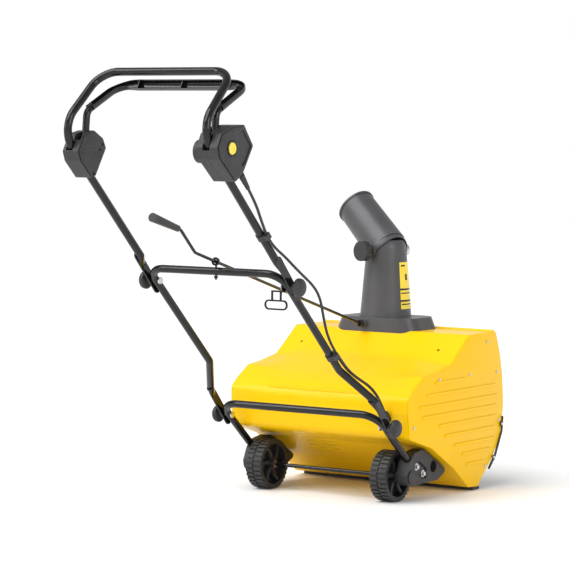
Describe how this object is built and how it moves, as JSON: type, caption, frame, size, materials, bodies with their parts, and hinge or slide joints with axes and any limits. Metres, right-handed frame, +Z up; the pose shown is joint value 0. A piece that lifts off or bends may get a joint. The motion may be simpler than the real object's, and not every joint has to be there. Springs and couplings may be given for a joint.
{
  "type": "snow blower",
  "caption": "Walk-behind electric snow blower: ribbed rotor housing, swivelling chute with crank, folding tubular handle with bail, small rear wheels.",
  "frame": {"origin": "on the ground, under the middle of the whole machine's bounding box", "axes": "+X operator's right, +Y forward to the intake, +Z up"},
  "size_m": [0.5496, 1.2492, 1.0605],
  "materials": {
    "housing_yellow": "glossy moulded plastic",
    "frame_black": "gloss black powder coat",
    "black_plastic": "fine moulded texture",
    "chute_grey": "fine moulded texture",
    "zinc_steel": "zinc plated",
    "grey_plate": "dark paint on steel sheet",
    "rotor_rubber": "plain moulded rubber",
    "cord_rubber": "cord jacket",
    "button_yellow": "glossy moulded plastic",
    "label_yellow": "printed film with plain panels",
    "motor_grey": "painted can"
  },
  "bodies": {
    "housing": {"housing_shell": "housing_yellow", "side_cover_left": "housing_yellow", "side_cover_right": "housing_yellow", "housing_fasteners": "zinc_steel", "side_plates": "grey_plate", "rotor_chamber": "black_plastic", "scraper_bar": "black_plastic", "wear_strips": "black_plastic", "rotor_bearings": "zinc_steel", "motor_body": "motor_grey", "drive_belt": "rotor_rubber", "axle": "frame_black", "wheel_brackets": "black_plastic", "lower_frame": "frame_black", "lower_pivot_bolts": "zinc_steel", "chute_base": "chute_grey", "cable_lower": "cord_rubber", "cable_grommet": "cord_rubber"},
    "rotor": {"rotor_shaft": "zinc_steel", "rotor_core": "black_plastic", "rotor_paddles": "rotor_rubber", "rotor_pulley": "black_plastic"},
    "motor_rotor": {"motor_shaft": "zinc_steel", "motor_pulley": "zinc_steel"},
    "left_wheel": {"wheel_left": "black_plastic"},
    "right_wheel": {"wheel_right": "black_plastic"},
    "middle": {"middle_frame": "frame_black", "middle_pivot_bolts": "zinc_steel", "crank_eye": "frame_black", "cable_middle": "cord_rubber", "cable_clip_lower": "black_plastic"},
    "handle": {"upper_handle": "frame_black", "switch_box_inner": "black_plastic", "switch_box_outer": "black_plastic", "pivot_box_inner": "black_plastic", "pivot_box_outer": "black_plastic", "handle_fasteners": "zinc_steel", "switch_unit": "black_plastic", "power_inlet": "black_plastic", "button_spring": "zinc_steel", "bail_spring": "zinc_steel", "cable_upper": "cord_rubber", "cable_boot": "cord_rubber", "cable_clip_upper": "black_plastic"},
    "bail": {"bail_lever": "black_plastic"},
    "button": {"lock_button": "button_yellow"},
    "chute": {"chute_tower": "chute_grey", "swivel_ring": "black_plastic", "safety_label": "label_yellow", "deflector_bolts": "zinc_steel"},
    "deflector_body": {"deflector": "chute_grey"},
    "deflector_clamp": {"deflector_knob": "black_plastic"},
    "pinion_body": {"pinion": "black_plastic"},
    "crank": {"crank_rod": "frame_black"},
    "grip": {"crank_grip": "black_plastic"},
    "hook": {"cord_hook": "frame_black"},
    "knob_lower_left": {"lower_knob_left": "black_plastic"},
    "knob_lower_right": {"lower_knob_right": "black_plastic"},
    "knob_middle_left": {"middle_knob_left": "black_plastic"},
    "knob_middle_right": {"middle_knob_right": "black_plastic"}
  },
  "joints": [
    {"name": "wheel_left_spin", "type": "hinge", "parent": "housing", "child": "left_wheel", "pos_m": [-0.186, 0.1935, 0.064], "axis": [1, 0, 0], "continuous": true},
    {"name": "wheel_right_spin", "type": "hinge", "parent": "housing", "child": "right_wheel", "pos_m": [0.186, 0.1935, 0.064], "axis": [1, 0, 0], "continuous": true},
    {"name": "rotor_spin", "type": "hinge", "parent": "housing", "child": "rotor", "pos_m": [0, 0.4885, 0.15], "axis": [1, 0, 0], "continuous": true},
    {"name": "motor_spin", "type": "hinge", "parent": "housing", "child": "motor_rotor", "pos_m": [0, 0.2535, 0.222], "axis": [1, 0, 0], "continuous": true},
    {"name": "middle_fold", "type": "hinge", "parent": "housing", "child": "middle", "pos_m": [0, 0.0865, 0.197], "axis": [1, 0, 0], "range_deg": [0, 40], "deforming": ["cable_lower", "cable_middle"]},
    {"name": "upper_fold", "type": "hinge", "parent": "middle", "child": "handle", "pos_m": [0, -0.2795, 0.557], "axis": [1, 0, 0], "range_deg": [-110, 0], "deforming": ["cable_upper"]},
    {"name": "bail_squeeze", "type": "hinge", "parent": "handle", "child": "bail", "pos_m": [0, -0.5665, 0.895], "axis": [1, 0, 0], "range_deg": [0, 12], "stiffness_Nm_per_rad": 2, "springref_deg": -14.32},
    {"name": "lock_button_press", "type": "slide", "parent": "handle", "child": "button", "axis": [-1, 0, 0], "range_m": [0, 0.005], "stiffness_N_per_m": 300, "springref_m": -0.003},
    {"name": "chute_swivel", "type": "hinge", "parent": "housing", "child": "chute", "pos_m": [-0.026, 0.5075, 0.403], "axis": [0, 0, 1], "range_deg": [-164, 16]},
    {"name": "deflector_tilt", "type": "hinge", "parent": "chute", "child": "deflector_body", "pos_m": [-0.026, 0.5075, 0.606], "axis": [-0.2756, -0.9613, 0], "range_deg": [-22, 8]},
    {"name": "deflector_knob_turn", "type": "hinge", "parent": "chute", "child": "deflector_clamp", "pos_m": [-0.026, 0.5075, 0.606], "axis": [-0.2756, -0.9613, 0], "range_deg": [0, 720]},
    {"name": "pinion_spin", "type": "hinge", "parent": "housing", "child": "pinion_body", "pos_m": [-0.049, 0.4175, 0.418], "axis": [-0.2476, -0.9689, 0], "range_deg": [-2060, 210]},
    {"name": "crank_spin", "type": "hinge", "parent": "middle", "child": "crank", "pos_m": [0.008, -0.3135, 0.611], "axis": [0.0752, -0.9641, 0.2546], "range_deg": [-2060, 210]},
    {"name": "grip_spin", "type": "hinge", "parent": "crank", "child": "grip", "pos_m": [0.02531, -0.5355, 0.70787], "axis": [0.0752, -0.9641, 0.2546], "continuous": true},
    {"name": "cord_hook_swing", "type": "hinge", "parent": "middle", "child": "hook", "pos_m": [0.179, -0.2795, 0.557], "axis": [1, 0, 0], "range_deg": [-50, 12]},
    {"name": "lower_knob_left_turn", "type": "hinge", "parent": "housing", "child": "knob_lower_left", "pos_m": [-0.26, 0.0865, 0.197], "axis": [-1, 0, 0], "range_deg": [0, 720]},
    {"name": "middle_knob_left_turn", "type": "hinge", "parent": "middle", "child": "knob_middle_left", "pos_m": [-0.22, -0.2795, 0.557], "axis": [-1, 0, 0], "range_deg": [0, 720]},
    {"name": "lower_knob_right_turn", "type": "hinge", "parent": "housing", "child": "knob_lower_right", "pos_m": [0.26, 0.0865, 0.197], "axis": [1, 0, 0], "range_deg": [0, 720]},
    {"name": "middle_knob_right_turn", "type": "hinge", "parent": "middle", "child": "knob_middle_right", "pos_m": [0.22, -0.2795, 0.557], "axis": [1, 0, 0], "range_deg": [0, 720]}
  ],
  "couplings": [
    {"joint": "motor_spin", "follows": "rotor_spin", "ratio": 4},
    {"joint": "pinion_spin", "follows": "chute_swivel", "ratio": 12.5},
    {"joint": "crank_spin", "follows": "chute_swivel", "ratio": 12.5}
  ]
}
